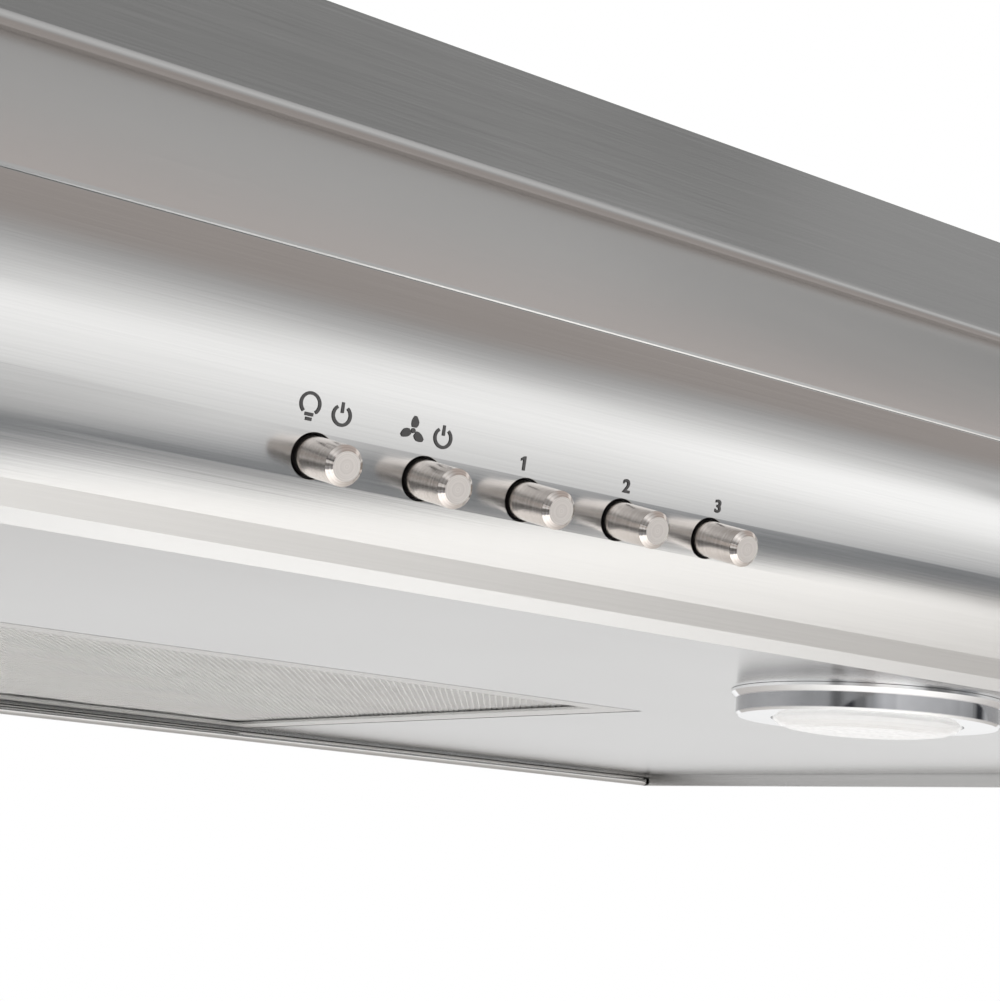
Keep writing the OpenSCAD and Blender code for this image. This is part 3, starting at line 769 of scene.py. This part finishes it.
# The dark band under the horizon and those near it narrow to both sides of SKEW_X.
DARK_BAND = -20.0
DARK_SPAN = 45.0
PINCH = 1.2
PINCH_MOST = 0.6
# Far left, beyond LEFT_X, the dark band ends sooner and the tone above it is lower.
LEFT_X = 0.46
LEFT_EDGE = 14.0
LEFT_PINCH = 0.167
LEFT_BELOW = 8.0
LEFT_FADE = 0.12
# The bands blend into one tone towards the hood's two ends.
END_FROM = 0.80
END_FULL = 0.97
END_TONE = (0.75, 0.75, 0.75)
# The room is darker in front, level with the hood, up to the right end of the front softbox.
FRONT_DIM = 0.335
DIM_ANGLES = (-4.0, 35.0)
DIM_FADE = 0.15
DIM_RIGHT = 0.665
DIM_EDGE = 18.0
# Dark flags just above the horizon, by their place along x and half width, and a paler one behind: they are
# seen only in the walls of the lamp rings.
FLAGS = [(-0.93, 0.12), (-0.52, 0.18), (0.90, 0.06)]
FLAG_LEVEL = 0.09
FLAG_EDGE = 25.0
FLAG_BEHIND = 0.8
FLAG_DEPTH = 0.92
FLAG_TONE = (0.02, 0.022, 0.03)
# How sharply the front of the room turns into its back.
FRONT_EDGE = 4.0


def clamped(t, value, gain):
    """The value times the gain, kept from 0 to 1."""
    return t.math("MINIMUM", t.math("MAXIMUM", t.times(value, gain), 0.0), 1.0)


def lean_bands(t, x, ahead, angle):
    """The angle with the bands' lean taken off."""
    beyond = t.minus(x, SKEW_X)
    below = clamped(t, t.minus(SKEW_BELOW, angle), SKEW_FADE)
    lean = t.times(t.times(t.math("MINIMUM", beyond, 0.0), below), SKEW)
    lean = t.add(lean, t.times(t.math("MAXIMUM", beyond, 0.0), SKEW_RIGHT))
    return t.minus(angle, t.times(lean, t.math("MAXIMUM", ahead, 0.0)))


def pinch_bands(t, x, ahead, angle, left):
    """The angle spread away from the dark band, which narrows that band."""
    off = t.minus(angle, DARK_BAND)
    near = t.minus(1.0, t.math("DIVIDE", t.math("ABSOLUTE", off), DARK_SPAN))
    near = t.times(t.math("MAXIMUM", near, 0.0), t.math("MAXIMUM", ahead, 0.0))
    aside = t.times(t.math("ABSOLUTE", t.minus(x, SKEW_X)), PINCH)
    pinched = t.times(t.times(off, near), t.math("MINIMUM", aside, PINCH_MOST))
    under = t.math("POWER", t.math("MAXIMUM", t.times(off, -LEFT_PINCH), 0.0), 3.0)
    return t.minus(t.add(angle, pinched), t.times(t.times(under, near), left))


def dark_flags(t, x, z, ahead, front):
    """How much of each direction the flags cover."""
    flags = 0.0
    for place, half in FLAGS:
        beside = t.math("ABSOLUTE", t.minus(x, place))
        flags = t.math("MAXIMUM", flags, clamped(t, t.minus(half, beside), FLAG_EDGE))
    behind = clamped(t, t.minus(-0.02, ahead), FRONT_EDGE)
    flags = t.math("MAXIMUM", t.times(flags, front), t.times(behind, FLAG_BEHIND))
    off_level = t.math("ABSOLUTE", t.minus(z, FLAG_LEVEL))
    return t.times(flags, clamped(t, t.minus(FLAG_LEVEL, off_level), FLAG_EDGE))


def dimming(t, x, angle, front, left_low):
    """How much darker the room is, low in front."""
    low, high = DIM_ANGLES
    level = t.times(
        clamped(t, t.minus(angle, low), DIM_FADE), clamped(t, t.minus(high, angle), DIM_FADE)
    )
    dim = t.times(t.times(clamped(t, t.minus(DIM_RIGHT, x), DIM_EDGE), level), FRONT_DIM)
    return t.times(t.times(dim, front), t.add(left_low, 1.0))


def world():
    """White for the camera; for reflections and light, soft long bands that run along the hood's width."""
    w = bpy.data.worlds.new("studio")
    bpy.context.scene.world = w
    w.use_nodes = True
    w.node_tree.nodes.clear()
    t = Tree(w.node_tree)
    x, y, z = t.split(t.node("TexCoord").outputs["Generated"])
    ahead = t.times(y, -1.0)
    front = clamped(t, ahead, FRONT_EDGE)
    true_angle = t.times(t.math("ARCTAN2", z, ahead), 180 / math.pi)
    left = clamped(t, t.minus(LEFT_X, x), LEFT_EDGE)
    left_low = t.times(left, clamped(t, t.minus(LEFT_BELOW, true_angle), LEFT_FADE))
    angle = pinch_bands(t, x, ahead, lean_bands(t, x, ahead, true_angle), left)
    bands = t.ramp(t.math("DIVIDE", t.add(angle, 180.0), 360.0), ROOM, -180, 180)
    ends = t.ramp(t.math("ABSOLUTE", x), [(END_FROM, 0.0), (END_FULL, 1.0)])
    tone = t.mix(ends, bands, END_TONE)
    tone = t.mix(dimming(t, x, angle, front, left_low), tone, (0.0, 0.0, 0.0))
    tone = t.mix(t.times(dark_flags(t, x, z, ahead, front), FLAG_DEPTH), tone, FLAG_TONE)
    soft = t.node("Background")
    t.link(tone, soft.inputs["Color"])
    plain = t.node("Background")
    plain.inputs["Color"].default_value = (1, 1, 1, 1)
    mix = t.node("MixShader")
    t.link(t.node("LightPath").outputs["Is Camera Ray"], mix.inputs[0])
    t.link(soft.outputs[0], mix.inputs[1])
    t.link(plain.outputs[0], mix.inputs[2])
    t.link(mix.outputs[0], t.node("OutputWorld").inputs["Surface"])


world()
bpy.context.scene.view_settings.view_transform = "Standard"

# Front softbox: its tone from its lower edge to its upper one.
FRONT_FADE = [
    (0.0, 0.0), (0.08, 0.02), (0.15, 0.18), (0.22, 0.42), (0.30, 0.60), (0.40, 0.78), (0.50, 0.86),
    (0.60, 0.90), (0.70, 0.76), (0.80, 0.32), (0.90, 0.05), (1.0, 0.0),
]
softbox(
    "front_softbox", at(205, -300, 146.1), at(205, 0, 146.1), size=(0.88, 0.45), radiance=1.0, roll=9.0,
    fade=FRONT_FADE,
)
# Low softbox: its tone from its upper edge to its lower one.
LOW_FADE = [(0.0, 0.0), (0.2, 0.20), (0.45, 0.36), (0.75, 0.32), (0.9, 0.22), (1.0, 0.0)]
softbox(
    "low_softbox", at(10, -300, -58), at(10, 0, -58), size=(0.26, 0.15), radiance=1.0, roll=189.0,
    fade=LOW_FADE,
)

# The floor: its height, a point on its front edge, the way that edge runs, and its reach in metres.
FLOOR_Z = -1.25
FLOOR_EDGE = (0.43, -1.30, 0)
FLOOR_ALONG = (0.842, -0.540, 0)
FLOOR_LEFT = 3.0
FLOOR_RIGHT = 4.2
FLOOR_DEPTH = 5.0
softbox(
    "floor_light", (0.8, -1.8, -0.45), (0.8, -1.8, FLOOR_Z), size=(5.0, 1.4), radiance=1.8, roll=-30.0,
    glossy=False,
)


def floor():
    """Pale floor whose front edge, like a table's, runs square to the camera's view."""
    along = Vector(FLOOR_ALONG).normalized()
    back = Vector((-along.y, along.x, 0)) * FLOOR_DEPTH
    near_left = Vector(FLOOR_EDGE) - along * FLOOR_LEFT
    near_right = Vector(FLOOR_EDGE) + along * FLOOR_RIGHT
    bm = bmesh.new()
    bm.faces.new([bm.verts.new(v) for v in (near_left, near_right, near_right + back, near_left + back)])
    data = bpy.data.meshes.new("floor")
    bm.to_mesh(data)
    bm.free()
    obj = bpy.data.objects.new("floor", data)
    bpy.context.scene.collection.objects.link(obj)
    obj.location = (0, 0, FLOOR_Z)
    g = Graph("pale_floor")
    cloud = g.noise(g.coords((2, 2, 2)), detail=2.0)
    tones = [(0.3, (0.84, 0.84, 0.83)), (0.7, (0.88, 0.88, 0.87))]
    g.link(g.ramp(cloud, tones), g.shader.inputs["Base Color"])
    g.put(Roughness=0.7)
    data.materials.append(g.material)


floor()
